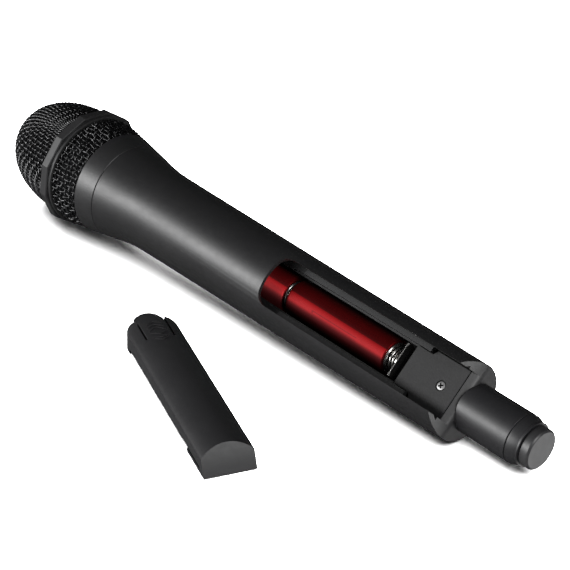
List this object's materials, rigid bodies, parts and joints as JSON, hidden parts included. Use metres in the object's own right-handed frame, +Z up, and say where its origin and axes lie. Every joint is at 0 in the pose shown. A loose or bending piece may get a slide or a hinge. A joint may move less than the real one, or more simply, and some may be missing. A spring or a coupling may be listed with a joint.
{
  "type": "handheld wireless microphone",
  "caption": "Handheld wireless microphone with a wire-grille head, round metal barrel, open battery bay, antenna stub and a separate clip-in battery cover lying beside it.",
  "frame": {"origin": "on the bench, below the centre of the bounding box of the microphone and its removed cover", "axes": "+X from the grille towards the antenna stub, +Z up from the bench; the microphone is tilted 2.52 degrees tail down and rolled 45 degrees so that the battery bay faces up and towards -Y"},
  "size_m": [0.2734, 0.1074, 0.048],
  "materials": {
    "barrel_paint": "fine satin charcoal paint",
    "collar_paint": "fine satin charcoal paint",
    "grille_wire": "black enamelled steel wire",
    "ring_plastic": "satin",
    "foam": "open-cell foam",
    "capsule_brass": "turned",
    "capsule_screen": "fine screen",
    "rubber": "matt",
    "inner_plastic": "moulded",
    "circuit_board": "solder mask",
    "deck_plastic": "fine moulded grain",
    "screw_steel": "plated",
    "cell_jacket": "metallic red jacket",
    "nickel": "nickel plated",
    "stub_plastic": "satin",
    "cap_plastic": "satin",
    "copper": "enamelled copper",
    "red_wire": "insulated",
    "black_wire": "insulated",
    "cover_plastic": "satin moulded",
    "slider_plastic": "satin",
    "lens": "translucent"
  },
  "bodies": {
    "handle": {"antenna_coil": "copper", "antenna_lead": "red_wire", "antenna_stub": "stub_plastic", "audio_chip": "inner_plastic", "barrel": "barrel_paint", "battery_rear": "cell_jacket", "battery_spring": "nickel", "battery_tray": "inner_plastic", "board_screw_head_end": "screw_steel", "board_screw_tail_end": "screw_steel", "capsule_lead_a": "red_wire", "capsule_lead_b": "black_wire", "capsule_screen": "capsule_screen", "capsule_stem": "inner_plastic", "capsule_terminal_board": "circuit_board", "deck_plate": "deck_plastic", "main_board": "circuit_board", "mic_capsule": "capsule_brass", "positive_contact": "nickel", "rf_shield": "nickel", "shock_mount": "rubber", "slide_switch": "nickel", "spring_contact": "nickel", "status_lens": "lens", "stub_ring": "stub_plastic", "switch_bezel": "inner_plastic", "tail_cap": "cap_plastic"},
    "grille_head": {"grille_collar": "collar_paint", "grille_basket": "grille_wire", "grille_ring": "ring_plastic", "grille_dome": "grille_wire", "windscreen_foam": "foam"},
    "cover": {"battery_cover": "cover_plastic"},
    "latch": {"cover_latch": "cover_plastic"},
    "front_cell": {"battery_front": "cell_jacket"},
    "switch_slider": {"power_slider": "slider_plastic"},
    "deck_screw": {"deck_screw": "screw_steel"}
  },
  "joints": [
    {"name": "cover_lift", "type": "slide", "parent": "handle", "child": "cover", "axis": [0, 0, 1], "range_m": [0, 0.06]},
    {"name": "latch_press", "type": "hinge", "parent": "cover", "child": "latch", "pos_m": [-0.00178, -0.01641, 0.0077], "axis": [-0.3795, -0.9252, 0], "range_deg": [0, 6]},
    {"name": "front_cell_out", "type": "slide", "parent": "handle", "child": "front_cell", "axis": [0.031, -0.7071, 0.7064], "range_m": [0, 0.035]},
    {"name": "power_switch", "type": "slide", "parent": "handle", "child": "switch_slider", "axis": [0.999, 0, -0.0439], "range_m": [0, 0.004]},
    {"name": "grille_turn", "type": "hinge", "parent": "handle", "child": "grille_head", "pos_m": [-0.07925, 0.02978, 0.02311], "axis": [-0.999, 0, 0.0439], "continuous": true},
    {"name": "deck_screw_turn", "type": "hinge", "parent": "handle", "child": "deck_screw", "pos_m": [0.09594, 0.02611, 0.01909], "axis": [0.031, -0.7071, 0.7064], "continuous": true}
  ]
}
